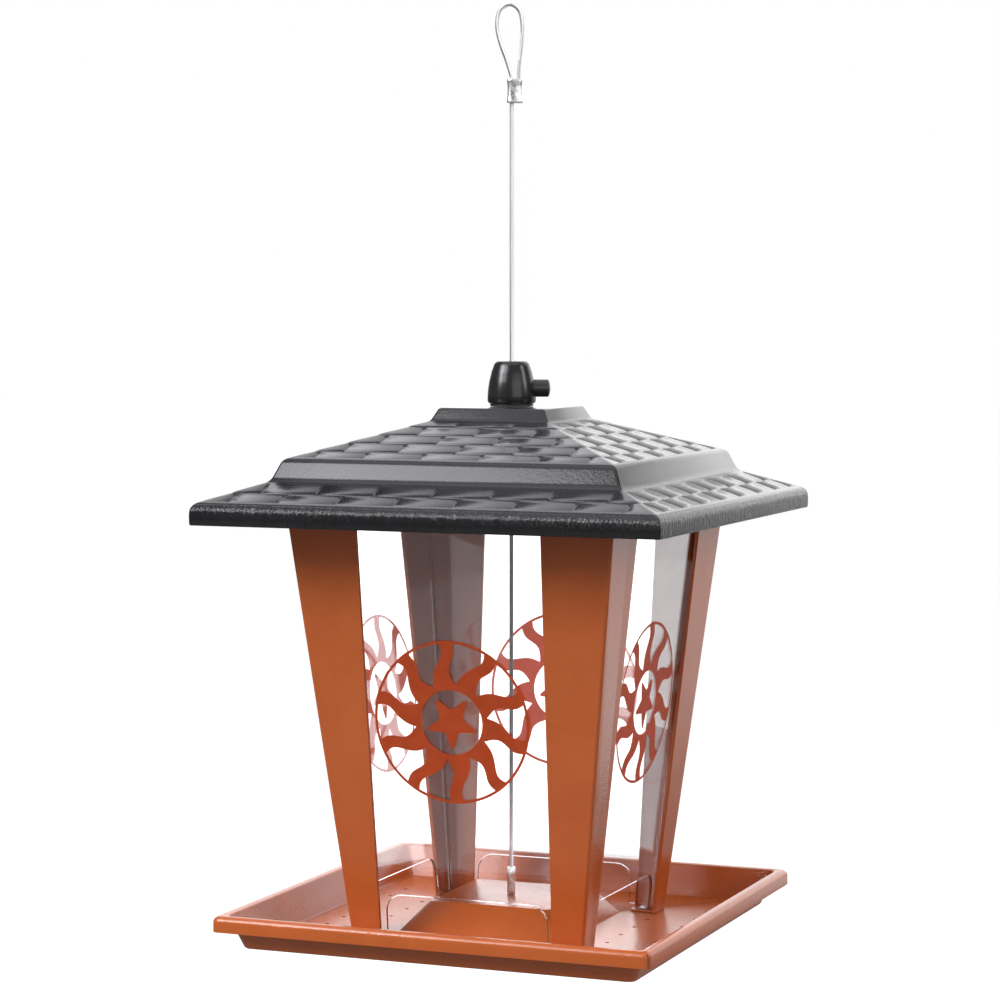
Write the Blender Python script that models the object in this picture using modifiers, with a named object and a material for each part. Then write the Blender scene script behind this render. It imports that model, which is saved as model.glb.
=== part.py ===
"""Hanging lantern bird feeder: stepped roof, four sheet posts, clear panels, tray and cable."""
import math

import bmesh
import bpy
from mathutils import Matrix, Vector

# Driving dimensions, in metres. "Half" is from the cable's axis to a square's side.
GAP = 0.0003                    # clearance kept between neighbouring pieces
SHEET = 0.0008                  # pressed steel of the roof, the tray and the posts
PLASTIC = 0.0015                # clear panels

POST_HALF_FOOT = 0.0610         # outer half width of the hopper at z = 0
POST_SPREAD = 0.1125            # growth of that half width for each metre of height
POST_BOTTOM = 0.0023            # foot tab, a clearance above the tray's floor
POST_TOP = 0.2320
FLANGE_EDGE_FOOT = 0.0453       # a flange's free edge, from the middle of its side, at z = 0
FLANGE_EDGE_SPREAD = 0.0120
LIP = 0.0020                    # depth of the lip folded in along a flange's free edge

PANEL_SETBACK = 0.0023          # panel's outer face behind the post's outer face
PANEL_BOTTOM = 0.0036
PANEL_TOP = 0.2330
PANEL_SIDE_ROOM = 0.0043        # panel's side edge short of the post's outer face
PORT_HALF = 0.0425
PORT_TOP = 0.0236
PORT_CORNER = 0.0085

RAIL_SETBACK = 0.0042
RAIL_BOTTOM = 0.2205
RAIL_TOP = 0.2390
RAIL_FLANGE = 0.0090
RAIL_SHEET = 0.0010

RIVET_SHANK = 0.0015
RIVET_HOLE = 0.0018
RIVET_HEAD = 0.0028
RIVET_HEAD_HIGH = 0.0010
RIVET_TAIL_HIGH = 0.0004
TOP_RIVET_Z = 0.2275
TOP_RIVET_ASIDE = 0.0600
FOOT_TAB = (0.0470, 0.0608)     # the foot tab's two ends along X and along Y
FOOT_RIVET = 0.0530

# Half width and height of the tray's upper surface, from its raised centre to its hem.
TRAY_FLOOR = 0.0020
TRAY_RINGS = [
    (0.0000, 0.0163), (0.0320, 0.0163), (0.0440, TRAY_FLOOR), (0.0965, TRAY_FLOOR),
    (0.0980, 0.0008), (0.1010, 0.0008), (0.1070, 0.0169), (0.1100, 0.0173), (0.1120, 0.0164),
    (0.1128, 0.0146), (0.1128, 0.0095),
]
TRAY_BEND = 0.0006
DRAIN_HOLE = 0.0012
DRAIN_PITCH = 0.020
DRAIN_ROWS = [(0.0625, (-1.5, -0.5, 0.5, 1.5)), (0.0845, (-3, -2, -1, 0, 1, 2, 3))]

# Half width and height of the roof's outer surface, from its top plate to its eaves.
ROOF_RINGS = [
    (0.0000, 0.2635), (0.0281, 0.2635), (0.0314, 0.2571), (0.0862, 0.2395), (0.0907, 0.2290),
    (0.1180, 0.2192), (0.1200, 0.2176), (0.1200, 0.2085),
]
ROOF_BEND = 0.0014
ROOF_HOLE = 0.0035

CABLE = 0.00105                 # radius of the steel cable
CABLE_BORE = 0.00135
CABLE_START = 0.0050
SLEEVE = (0.0166, 0.0302)       # ends of the crimped sleeve above the tray's raised centre
SLEEVE_RADIUS = 0.0021
WASHER = (0.0140, 0.0152)
WASHER_RADIUS = 0.0060
STOP = (0.0040, 0.0137)
STOP_RADIUS = 0.0026
FERRULE = (0.4150, 0.4270)
FERRULE_HALF_WIDE = 0.0041
FERRULE_RADIUS = 0.0024
LEG_ASIDE = 0.0033              # the loop's returning leg, beside the cable's axis
# The hanging loop's own points: distance beside the axis, and height.
LOOP_ROUTE = [
    (0.0000, 0.4150), (0.0000, 0.4265), (-0.0024, 0.4355), (-0.0056, 0.4445), (-0.0073, 0.4530),
    (-0.0060, 0.4606), (-0.0011, 0.4639), (0.0037, 0.4608), (0.0053, 0.4535), (0.0049, 0.4445),
    (0.0038, 0.4355), (LEG_ASIDE, 0.4265), (LEG_ASIDE, 0.4156),
]

CAP_BOTTOM = 0.2653
CAP_TOP = 0.2863
CAP_BORE = 0.0022
SEAT = (0.2638, 0.2650)         # ends of the washer that the cap stands on
SEAT_RADIUS = 0.0109
BUTTON_Z = 0.2728
BUTTON_RADIUS = 0.0044
BUTTON_END = 0.0194
BUTTON_BACK = -0.0045
BUTTON_TRAVEL = 0.0030
BUTTON_BORE = 0.0047
BORE_BACK = -0.0088
RECESS_RADIUS = 0.0030
RECESS_FLOOR = -0.0021
SPRING_COILS = 3.5
SPRING_RADIUS = 0.0023
SPRING_WIRE = 0.00025
FACING = math.radians(21.0)     # direction of the button and of the loop's plane, about Z

LEVEL = math.sqrt(1 + POST_SPREAD ** 2)


def clear_scene():
    for item in list(bpy.data.objects):
        bpy.data.objects.remove(item, do_unlink=True)


def new_collection(name):
    group = bpy.data.collections.new(name)
    bpy.context.scene.collection.children.link(group)
    return group


def new_material(name, color, roughness, metallic=0.0, alpha=1.0):
    material = bpy.data.materials.new(name)
    material.use_nodes = True
    surface = material.node_tree.nodes["Principled BSDF"]
    surface.inputs["Base Color"].default_value = (*color, 1.0)
    surface.inputs["Roughness"].default_value = roughness
    surface.inputs["Metallic"].default_value = metallic
    surface.inputs["Alpha"].default_value = alpha
    return material


def add_object(name, data, material):
    item = bpy.data.objects.new(name, data)
    item.data.materials.append(material)
    parts.objects.link(item)
    return item


def mesh_from(build, name):
    """A mesh from a bmesh that build() fills, shaded smooth with its creases kept sharp."""
    shape = bmesh.new()
    build(shape)
    mesh = bpy.data.meshes.new(name)
    shape.to_mesh(mesh)
    shape.free()
    mesh.shade_smooth()
    mesh.set_sharp_from_angle(angle=math.radians(35))
    return mesh


def add_cutter(name, build, matrix=Matrix()):
    item = bpy.data.objects.new(name, mesh_from(build, name))
    item.matrix_world = matrix
    item.hide_render = True
    item.display_type = "WIRE"
    cutters.objects.link(item)
    return item


def cut(item, cutter, operation="DIFFERENCE"):
    boolean = item.modifiers.new(operation.title(), "BOOLEAN")
    boolean.operation = operation
    boolean.object = cutter


def rod(shape, radius, matrix, low, high, sides=16):
    """A closed cylinder from low to high along the matrix's own Z axis."""
    middle = matrix @ Matrix.Translation((0, 0, (low + high) / 2))
    bmesh.ops.create_cone(shape, cap_ends=True, segments=sides, radius1=radius, radius2=radius,
                          depth=high - low, matrix=middle)


def profile_line(points, closed):
    def build(shape):
        verts = [shape.verts.new((x, 0, z)) for x, z in points]
        for first, second in zip(verts, verts[1:]):
            shape.edges.new((first, second))
        if closed:
            shape.edges.new((verts[-1], verts[0]))
    return build


def turned(name, points, steps, material, closed=True):
    """A profile in the XZ plane, swept round Z. It runs down its outer side."""
    item = add_object(name, mesh_from(profile_line(points, closed), name), material)
    screw = item.modifiers.new("Screw", "SCREW")
    screw.steps = steps
    screw.render_steps = steps
    screw.use_merge_vertices = True
    screw.merge_threshold = 0.00001
    return item


def square_shell(name, rings, sheet, bend, material):
    """A pressed sheet with a square plan: the rings are half widths and heights."""
    points = [(half * math.sqrt(2), z) for half, z in rings]
    item = turned(name, points, 4, material, closed=False)
    item.rotation_euler.z = math.radians(45)
    if bend:
        bevel = item.modifiers.new("Bends", "BEVEL")
        bevel.width = bend
        bevel.segments = 2
        bevel.limit_method = "ANGLE"
        bevel.angle_limit = math.radians(12)
    solid = item.modifiers.new("Sheet", "SOLIDIFY")
    solid.thickness = sheet
    solid.offset = -1
    solid.use_even_offset = True
    return item


def post_half(z):
    return POST_HALF_FOOT + POST_SPREAD * z


def side_frame(side, across, z, depth):
    """Matrix of a place on a hopper side: X across it, Y up its slope, Z straight out of it."""
    out = Vector((0, -1, -POST_SPREAD)) / LEVEL
    up = Vector((0, -POST_SPREAD, 1)) / LEVEL
    place = Vector((across, -post_half(z), z)) - out * depth
    frame = Matrix(((1, up.x, out.x, place.x), (0, up.y, out.y, place.y),
                    (0, up.z, out.z, place.z), (0, 0, 0, 1)))
    return Matrix.Rotation(math.radians(90) * side, 4, "Z") @ frame


def corner_frame(corner):
    """Matrix that turns the corner at +X and -Y to each of the four corners."""
    return Matrix.Rotation(math.radians(90) * corner, 4, "Z")


def top_rivet_frames():
    return [(side, end, side_frame(side, end * TOP_RIVET_ASIDE, TOP_RIVET_Z, 0))
            for side in range(4) for end in (-1, 1)]


def add_posts(material):
    def section(z):
        half, edge = post_half(z), FLANGE_EDGE_FOOT + FLANGE_EDGE_SPREAD * z
        return [(edge, -half + LIP, z), (edge, -half, z), (half, -half, z),
                (half, -edge, z), (half - LIP, -edge, z)]

    def sheet(shape):
        rows = [[shape.verts.new(p) for p in section(z)] for z in (POST_BOTTOM, POST_TOP)]
        for low, high, next_low, next_high in zip(rows[0], rows[1], rows[0][1:], rows[1][1:]):
            shape.faces.new((low, next_low, next_high, high))

    def tab(shape):
        low, high = FOOT_TAB
        centre = ((low + high) / 2, -(low + high) / 2, POST_BOTTOM + SHEET / 2)
        size = Matrix.Diagonal((high - low, high - low, SHEET, 1))
        bmesh.ops.create_cube(shape, size=1, matrix=Matrix.Translation(centre) @ size)

    def holes(shape):
        foot = Matrix.Translation((FOOT_RIVET, -FOOT_RIVET, POST_BOTTOM))
        rod(shape, RIVET_HOLE, foot, -0.002, 0.004)
        for side, end, frame in top_rivet_frames():
            if (side, end) in ((0, 1), (1, -1)):
                rod(shape, RIVET_HOLE, frame, -0.0015, 0.001)

    for corner, name in enumerate(("front_right", "back_right", "back_left", "front_left")):
        turn = corner_frame(corner)
        post = add_object("post_" + name, mesh_from(sheet, "post_" + name), material)
        post.matrix_world = turn
        solid = post.modifiers.new("Sheet", "SOLIDIFY")
        solid.thickness = SHEET
        solid.offset = -1
        solid.use_even_offset = True
        cut(post, add_cutter("tab_blank_" + name, tab, turn), "UNION")
        cut(post, add_cutter("post_drills_" + name, holes, turn))


def panel_outline():
    """The panel's edge in its own plane, with Y measured up the slope from its bottom edge."""
    def half(z):
        return post_half(z) - PANEL_SIDE_ROOM

    def up(z):
        return (z - PANEL_BOTTOM) * LEVEL

    points = [(half(PANEL_BOTTOM), 0), (half(PANEL_TOP), up(PANEL_TOP)),
              (-half(PANEL_TOP), up(PANEL_TOP)), (-half(PANEL_BOTTOM), 0), (-PORT_HALF, 0)]
    for side, start in ((-1, 180), (1, 90)):
        for step in range(6):
            turn = math.radians(start - 18 * step)
            points.append((side * (PORT_HALF - PORT_CORNER) + PORT_CORNER * math.cos(turn),
                           up(PORT_TOP) - PORT_CORNER + PORT_CORNER * math.sin(turn)))
    points.append((PORT_HALF, 0))
    return points


def closed_spline(curve, points):
    spline = curve.splines.new("POLY")
    spline.points.add(len(points) - 1)
    for point, (x, y) in zip(spline.points, points):
        point.co = (x, y, 0, 1)
    spline.use_cyclic_u = True


def add_panels(material):
    hole_up = (TOP_RIVET_Z - PANEL_BOTTOM) * LEVEL
    for side, name in enumerate(("front", "right", "back", "left")):
        curve = bpy.data.curves.new("panel_" + name, "CURVE")
        curve.dimensions = "2D"
        curve.fill_mode = "BOTH"
        curve.extrude = PLASTIC / 2
        closed_spline(curve, panel_outline())
        for end in (-1, 1):
            closed_spline(curve, [(end * TOP_RIVET_ASIDE + RIVET_HOLE * math.cos(turn),
                                   hole_up + RIVET_HOLE * math.sin(turn))
                                  for turn in (math.tau * k / 12 for k in range(12))])
        panel = add_object("panel_" + name, curve, material)
        panel.matrix_world = side_frame(side, 0, PANEL_BOTTOM, PANEL_SETBACK + PLASTIC / 2)


def add_rail(material):
    def half(z):
        return post_half(z) - RAIL_SETBACK * LEVEL

    def holes(shape):
        for _, _, frame in top_rivet_frames():
            rod(shape, RIVET_HOLE, frame, -0.008, -0.003)

    rings = [(half(RAIL_TOP) - RAIL_FLANGE, RAIL_TOP), (half(RAIL_TOP), RAIL_TOP),
             (half(RAIL_BOTTOM), RAIL_BOTTOM)]
    rail = square_shell("top_rail", rings, RAIL_SHEET, 0, material)
    cut(rail, add_cutter("rail_drills", holes))


def rivet_profile(length, tail_high):
    """Domed head above zero, shank down to -length, and the set tail under that."""
    dome = [(RIVET_HEAD * math.sin(turn), GAP + RIVET_HEAD_HIGH * math.cos(turn))
            for turn in (math.radians(a) for a in (0, 30, 60, 90))]
    tail = RIVET_HEAD * 0.9
    return dome + [(RIVET_SHANK, GAP), (RIVET_SHANK, -length), (tail, -length),
                   (tail, -length - tail_high), (0, -length - tail_high)]


def add_rivets(material):
    grip = RAIL_SETBACK + RAIL_SHEET + GAP
    for side, end, frame in top_rivet_frames():
        name = "rivet_top_%s_%s" % (("front", "right", "back", "left")[side], "ab"[(end + 1) // 2])
        rivet = turned(name, rivet_profile(grip, RIVET_HEAD_HIGH), 16, material, closed=False)
        rivet.matrix_world = frame
    seat = POST_BOTTOM + SHEET
    grip = seat - (TRAY_FLOOR - SHEET) + GAP
    for corner, name in enumerate(("front_right", "back_right", "back_left", "front_left")):
        rivet = turned("rivet_foot_" + name, rivet_profile(grip, RIVET_TAIL_HIGH), 16, material,
                       closed=False)
        rivet.matrix_world = corner_frame(corner) @ Matrix.Translation(
            (FOOT_RIVET, -FOOT_RIVET, seat))


def add_tray(material):
    def holes(shape):
        rod(shape, CABLE_BORE + 0.0006, Matrix(), 0.012, 0.020)
        for corner in range(4):
            turn = corner_frame(corner)
            rod(shape, RIVET_HOLE, turn @ Matrix.Translation((FOOT_RIVET, -FOOT_RIVET, 0)),
                -0.002, 0.004, 12)
            for out, places in DRAIN_ROWS:
                for place in places:
                    spot = turn @ Matrix.Translation((out, place * DRAIN_PITCH, 0))
                    rod(shape, DRAIN_HOLE, spot, -0.002, 0.004, 8)

    tray = square_shell("tray", TRAY_RINGS, SHEET, TRAY_BEND, material)
    cut(tray, add_cutter("tray_drills", holes))


def add_roof(material):
    roof = square_shell("roof", ROOF_RINGS, SHEET, ROOF_BEND, material)
    cut(roof, add_cutter("roof_drill", lambda shape: rod(shape, ROOF_HOLE, Matrix(), 0.258, 0.268, 24)))


def ring(name, ends, radius, bore, material, steps=16):
    low, high = ends
    return turned(name, [(bore, high), (radius, high), (radius, low), (bore, low)], steps, material)


def smooth_route(points, steps):
    """Points of a Catmull-Rom curve through the given ones, steps to each stretch."""
    ends = [points[0], *points, points[-1]]
    route = []
    for before, start, end, after in zip(ends, ends[1:], ends[2:], ends[3:]):
        for step in range(steps):
            t = step / steps
            weights = (-t ** 3 + 2 * t ** 2 - t, 3 * t ** 3 - 5 * t ** 2 + 2,
                       -3 * t ** 3 + 4 * t ** 2 + t, t ** 3 - t ** 2)
            route.append(tuple(sum(w * p[k] for w, p in zip(weights, (before, start, end, after))) / 2
                               for k in (0, 1)))
    return [*route, points[-1]]


def add_cable(cable_material, crimp_material):
    """Up the axis from the stop, round the hanging loop, and back down into the ferrule."""
    across = Vector((math.cos(FACING), math.sin(FACING), 0))
    run = LOOP_ROUTE[0][1] - CABLE_START
    route = [(0, CABLE_START + run * step / 16) for step in range(16)]
    route += smooth_route(LOOP_ROUTE, 3)
    curve = bpy.data.curves.new("hanger_cable", "CURVE")
    curve.dimensions = "3D"
    curve.bevel_depth = CABLE
    curve.bevel_resolution = 2
    curve.use_fill_caps = True
    spline = curve.splines.new("POLY")
    spline.points.add(len(route) - 1)
    for point, (aside, z) in zip(spline.points, route):
        point.co = (*(across * aside + Vector((0, 0, z))), 1)
    add_object("hanger_cable", curve, cable_material)

    ring("anchor_sleeve", SLEEVE, SLEEVE_RADIUS, CABLE_BORE, crimp_material)
    ring("anchor_washer", WASHER, WASHER_RADIUS, CABLE_BORE, crimp_material, 24)
    ring("anchor_stop", STOP, STOP_RADIUS, CABLE_BORE, crimp_material)

    turn = Matrix.Rotation(FACING, 4, "Z")
    barrel = bpy.data.curves.new("loop_ferrule", "CURVE")
    barrel.dimensions = "2D"
    barrel.fill_mode = "BOTH"
    barrel.extrude = (FERRULE[1] - FERRULE[0]) / 2
    flat = FERRULE_HALF_WIDE - FERRULE_RADIUS
    closed_spline(barrel, [(side * flat + FERRULE_RADIUS * math.cos(a), FERRULE_RADIUS * math.sin(a))
                           for side, start in ((1, -90), (-1, 90))
                           for a in (math.radians(start + 22.5 * k) for k in range(9))])
    for leg in (-LEG_ASIDE / 2, LEG_ASIDE / 2):
        closed_spline(barrel, [(leg + CABLE_BORE * math.cos(a), CABLE_BORE * math.sin(a))
                               for a in (math.tau * k / 16 for k in range(16))])
    ferrule = add_object("loop_ferrule", barrel, crimp_material)
    ferrule.matrix_world = turn @ Matrix.Translation((LEG_ASIDE / 2, 0, sum(FERRULE) / 2))


def add_cap(black, dark, steel):
    """The spring-loaded cable lock on top of the roof, with its button along FACING."""
    sideways = Matrix.Rotation(FACING, 4, "Z") @ Matrix.Translation((0, 0, BUTTON_Z)) \
        @ Matrix.Rotation(math.radians(90), 4, "Y")

    ring("cap_seat", SEAT, SEAT_RADIUS, CAP_BORE, dark, 32)

    wall = [(CAP_BORE, CAP_TOP), (0.0072, CAP_TOP), (0.0080, CAP_TOP - 0.0005),
            (0.0088, CAP_TOP - 0.0012), (0.0092, CAP_TOP - 0.0023), (0.0101, 0.2815),
            (0.0109, 0.2782), (0.0116, 0.2751), (0.0120, 0.2720), (0.0122, 0.2690),
            (0.0122, 0.2664), (0.0119, CAP_BOTTOM), (CAP_BORE, CAP_BOTTOM)]
    cap = turned("lock_cap", wall, 40, black)
    cut(cap, add_cutter("button_bore", lambda shape: rod(
        shape, BUTTON_BORE, sideways, BORE_BACK, 0.020, 24)))

    def slot(shape):
        low = -CABLE - GAP
        high = CABLE + GAP + BUTTON_TRAVEL
        wide = 2 * (CABLE + 0.0005)
        size = Matrix.Diagonal((0.02, wide, high - low, 1))
        bmesh.ops.create_cube(shape, size=1, matrix=sideways @ Matrix.Translation(
            (0, 0, (low + high) / 2)) @ size)
    plunger = [(0, BUTTON_END), (0.0024, BUTTON_END - 0.0002), (0.0038, BUTTON_END - 0.0006),
               (BUTTON_RADIUS, BUTTON_END - 0.0014), (BUTTON_RADIUS, BUTTON_BACK),
               (RECESS_RADIUS, BUTTON_BACK), (RECESS_RADIUS, RECESS_FLOOR), (0, RECESS_FLOOR)]
    button = turned("lock_button", plunger, 32, black, closed=False)
    button.matrix_world = sideways
    cut(button, add_cutter("cable_slot", slot))

    coil = bpy.data.curves.new("lock_spring", "CURVE")
    coil.dimensions = "3D"
    coil.bevel_depth = SPRING_WIRE
    coil.bevel_resolution = 2
    coil.use_fill_caps = True
    low = BORE_BACK + GAP + SPRING_WIRE
    high = RECESS_FLOOR - BUTTON_TRAVEL - GAP - SPRING_WIRE
    turns = coil.splines.new("POLY")
    count = int(SPRING_COILS * 16) + 1
    turns.points.add(count - 1)
    for step, point in enumerate(turns.points):
        share = step / (count - 1)
        angle = math.tau * SPRING_COILS * share
        point.co = (SPRING_RADIUS * math.cos(angle), SPRING_RADIUS * math.sin(angle),
                    low + (high - low) * share, 1)
    add_object("lock_spring", coil, steel).matrix_world = sideways


clear_scene()
parts = new_collection("lantern_bird_feeder")
cutters = new_collection("cutters")

copper = new_material("copper_paint", (0.42, 0.15, 0.055), 0.35, 0.3)
roof_black = new_material("roof_enamel", (0.035, 0.035, 0.038), 0.32)
clear = new_material("clear_plastic", (0.88, 0.87, 0.92), 0.08, alpha=0.3)
black_plastic = new_material("black_plastic", (0.015, 0.015, 0.017), 0.22)
dark_rubber = new_material("dark_nylon", (0.02, 0.02, 0.02), 0.6)
galvanised = new_material("galvanised_wire", (0.45, 0.45, 0.46), 0.4, 0.9)
aluminium = new_material("crimp_aluminium", (0.75, 0.75, 0.76), 0.3, 1.0)
spring_steel = new_material("spring_steel", (0.5, 0.5, 0.5), 0.3, 1.0)

add_tray(copper)
add_posts(copper)
add_panels(clear)
add_rail(copper)
add_rivets(aluminium)
add_roof(roof_black)
add_cable(galvanised, aluminium)
add_cap(black_plastic, dark_rubber, spring_steel)
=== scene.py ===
import bpy
import bmesh
import math
from mathutils import Matrix, Vector


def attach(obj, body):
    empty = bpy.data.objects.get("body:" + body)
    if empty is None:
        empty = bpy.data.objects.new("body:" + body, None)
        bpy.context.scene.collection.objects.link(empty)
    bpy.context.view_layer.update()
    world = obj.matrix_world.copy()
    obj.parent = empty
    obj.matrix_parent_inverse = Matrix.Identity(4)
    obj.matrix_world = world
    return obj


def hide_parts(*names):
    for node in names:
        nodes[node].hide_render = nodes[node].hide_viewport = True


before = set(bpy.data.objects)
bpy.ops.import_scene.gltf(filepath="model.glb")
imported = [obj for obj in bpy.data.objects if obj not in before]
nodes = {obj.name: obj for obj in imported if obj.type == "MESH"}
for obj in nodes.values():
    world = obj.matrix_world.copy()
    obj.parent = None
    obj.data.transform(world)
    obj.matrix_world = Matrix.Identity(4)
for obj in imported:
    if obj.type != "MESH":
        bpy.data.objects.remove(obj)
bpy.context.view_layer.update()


# Camera: a long lens, a little above the roof and round to the right of the feeder's front.
camera = bpy.data.objects.new("camera", bpy.data.cameras.new("camera"))
bpy.context.scene.collection.objects.link(camera)
camera.location = (0.5664, -1.4248, 0.3167)
camera.rotation_euler = (math.radians(90 - 3.74), 0, math.radians(21.90))
camera.data.sensor_width = 36
camera.data.lens = 109.9
camera.data.clip_end = 60
bpy.context.scene.camera = camera
bpy.context.scene.view_settings.view_transform = "Standard"


# Wire rope: seven galvanised strands laid up to 2 mm, straight up the feeder's middle from
# the stop under the tray, then round the hanging loop and back down into the ferrule.
FACING = math.radians(21.0)
ROPE_RADIUS = 0.00105
ROPE_LAY = 0.0080
ROPE_FOOT = 0.0050
SLEEVE_LOW = 0.0166
LOOP_FOOT = 0.4150
LEG_ASIDE = 0.0033
LOOP_POINTS = [
    (0.0000, 0.4150), (0.0000, 0.4265), (-0.0024, 0.4355), (-0.0056, 0.4445), (-0.0073, 0.4530),
    (-0.0060, 0.4606), (-0.0011, 0.4639), (0.0037, 0.4608), (0.0053, 0.4535), (0.0049, 0.4445),
    (0.0038, 0.4355), (LEG_ASIDE, 0.4265), (LEG_ASIDE, 0.4156),
]


def rope_route(straight_steps, loop_steps):
    """Points up the straight run and round the loop, on one smooth curve."""
    flat = [(0, ROPE_FOOT + (LOOP_FOOT - ROPE_FOOT) * k / straight_steps)
            for k in range(straight_steps)]
    ends = [LOOP_POINTS[0], *LOOP_POINTS, LOOP_POINTS[-1]]
    for before, first, last, after in zip(ends, ends[1:], ends[2:], ends[3:]):
        for k in range(loop_steps):
            t = k / loop_steps
            weights = (-t ** 3 + 2 * t ** 2 - t, 3 * t ** 3 - 5 * t ** 2 + 2,
                       -3 * t ** 3 + 4 * t ** 2 + t, t ** 3 - t ** 2)
            near = list(zip(weights, (before, first, last, after)))
            flat.append(tuple(sum(w * p[axis] for w, p in near) / 2 for axis in (0, 1)))
    flat.append(LOOP_POINTS[-1])
    return [Vector((aside * math.cos(FACING), aside * math.sin(FACING), z)) for aside, z in flat]


def line_curve(name, points, closed, tilts=None):
    curve = bpy.data.curves.new(name, "CURVE")
    curve.dimensions = "3D"
    spline = curve.splines.new("POLY")
    spline.points.add(len(points) - 1)
    for k, place in enumerate(points):
        spline.points[k].co = (*place, 1)
        if tilts:
            spline.points[k].tilt = tilts[k]
    spline.use_cyclic_u = closed
    piece = bpy.data.objects.new(name, curve)
    bpy.context.scene.collection.objects.link(piece)
    return piece


def only(*pieces):
    """Leaves just these objects selected, the first of them active."""
    bpy.ops.object.select_all(action="DESELECT")
    for piece in pieces:
        piece.select_set(True)
    bpy.context.view_layer.objects.active = pieces[0]


def finished(piece, body, slot, material, *stands_for, smooth=40):
    """Applies a piece's place, shades it, gives it its material and its body, and hides the nodes
    it stands for.
    """
    only(piece)
    bpy.ops.object.transform_apply(location=True, rotation=True, scale=True)
    bpy.ops.object.shade_smooth_by_angle(angle=math.radians(smooth))
    piece.data.materials.clear()
    piece.data.materials.append(material)
    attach(piece, body)
    if stands_for:
        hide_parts(*stands_for)
    return piece


def plain(name, **settings):
    """A new material, its node tree and its surface shader with these plain values set on it."""
    material = bpy.data.materials.new(name)
    material.use_nodes = True
    surface = material.node_tree.nodes["Principled BSDF"]
    for key, value in settings.items():
        socket = surface.inputs[key.replace("_", " ")]
        socket.default_value = (*value, 1) if isinstance(value, tuple) else value
    return material, material.node_tree, surface


def mottle_group():
    """Soft cloudy patches and fine specks over a surface, each as a mask from 0 to 1."""
    group = bpy.data.node_groups.new("patches and specks", "ShaderNodeTree")
    group.interface.new_socket("Patch Size", in_out="INPUT", socket_type="NodeSocketFloat")
    group.interface.new_socket("Speck Size", in_out="INPUT", socket_type="NodeSocketFloat")
    group.interface.new_socket("Patches", in_out="OUTPUT", socket_type="NodeSocketFloat")
    group.interface.new_socket("Specks", in_out="OUTPUT", socket_type="NodeSocketFloat")
    enter, leave = group.nodes.new("NodeGroupInput"), group.nodes.new("NodeGroupOutput")
    place = group.nodes.new("ShaderNodeTexCoord")
    for size, mask, detail, low, high in (("Patch Size", "Patches", 4, 0.35, 0.65),
                                          ("Speck Size", "Specks", 2, 0.66, 0.74)):
        noise = group.nodes.new("ShaderNodeTexNoise")
        noise.inputs["Detail"].default_value = detail
        spread = group.nodes.new("ShaderNodeMapRange")
        spread.inputs["From Min"].default_value = low
        spread.inputs["From Max"].default_value = high
        group.links.new(place.outputs["Object"], noise.inputs["Vector"])
        group.links.new(enter.outputs[size], noise.inputs["Scale"])
        group.links.new(noise.outputs["Fac"], spread.inputs["Value"])
        group.links.new(spread.outputs["Result"], leave.inputs[mask])
    return group


mottle = mottle_group()


def add_mottle(tree, patch_size, speck_size):
    node = tree.nodes.new("ShaderNodeGroup")
    node.node_tree = mottle
    node.inputs["Patch Size"].default_value = patch_size
    node.inputs["Speck Size"].default_value = speck_size
    return node


def ramp(tree, mask, socket, low, high):
    """Runs a socket from one colour or number to another as a mask goes from 0 to 1."""
    if isinstance(low, tuple):
        mix = tree.nodes.new("ShaderNodeMix")
        mix.data_type = "RGBA"
        mix.inputs["A"].default_value = (*low, 1)
        mix.inputs["B"].default_value = (*high, 1)
        tree.links.new(mask, mix.inputs["Factor"])
        tree.links.new(mix.outputs["Result"], socket)
        return mix.outputs["Result"]
    spread = tree.nodes.new("ShaderNodeMapRange")
    spread.inputs["To Min"].default_value = low
    spread.inputs["To Max"].default_value = high
    tree.links.new(mask, spread.inputs["Value"])
    tree.links.new(spread.outputs["Result"], socket)
    return spread.outputs["Result"]


zinc, tree, surface = plain("galvanised wire", Metallic=1.0)
marks = add_mottle(tree, 260, 2200)
# Painted shade: the zinc's colour is darker along the run that stands in the seed, between the tray
# and the roof, where the roof shades it; the light grey above and below is the wire's own.
place = tree.nodes.new("ShaderNodeTexCoord")
axes = tree.nodes.new("ShaderNodeSeparateXYZ")
tree.links.new(place.outputs["Object"], axes.inputs["Vector"])
painted_shade_fade = tree.nodes.new("ShaderNodeMath")
painted_shade_fade.operation = "MAXIMUM"
for socket, (shaded_end, lit_end) in zip(painted_shade_fade.inputs, ((0.215, 0.245), (0.085, 0.045))):
    fade = tree.nodes.new("ShaderNodeMapRange")
    fade.inputs["From Min"].default_value = shaded_end
    fade.inputs["From Max"].default_value = lit_end
    tree.links.new(axes.outputs["Z"], fade.inputs["Value"])
    tree.links.new(fade.outputs["Result"], socket)
# Base colour runs from the painted shade's dark grey inside the hopper to the zinc's own light grey
# outside it.
ramp(tree, painted_shade_fade.outputs["Value"], surface.inputs["Base Color"],
     (0.20, 0.20, 0.21), (0.74, 0.74, 0.75))
ramp(tree, marks.outputs["Specks"], surface.inputs["Roughness"], 0.30, 0.55)

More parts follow.
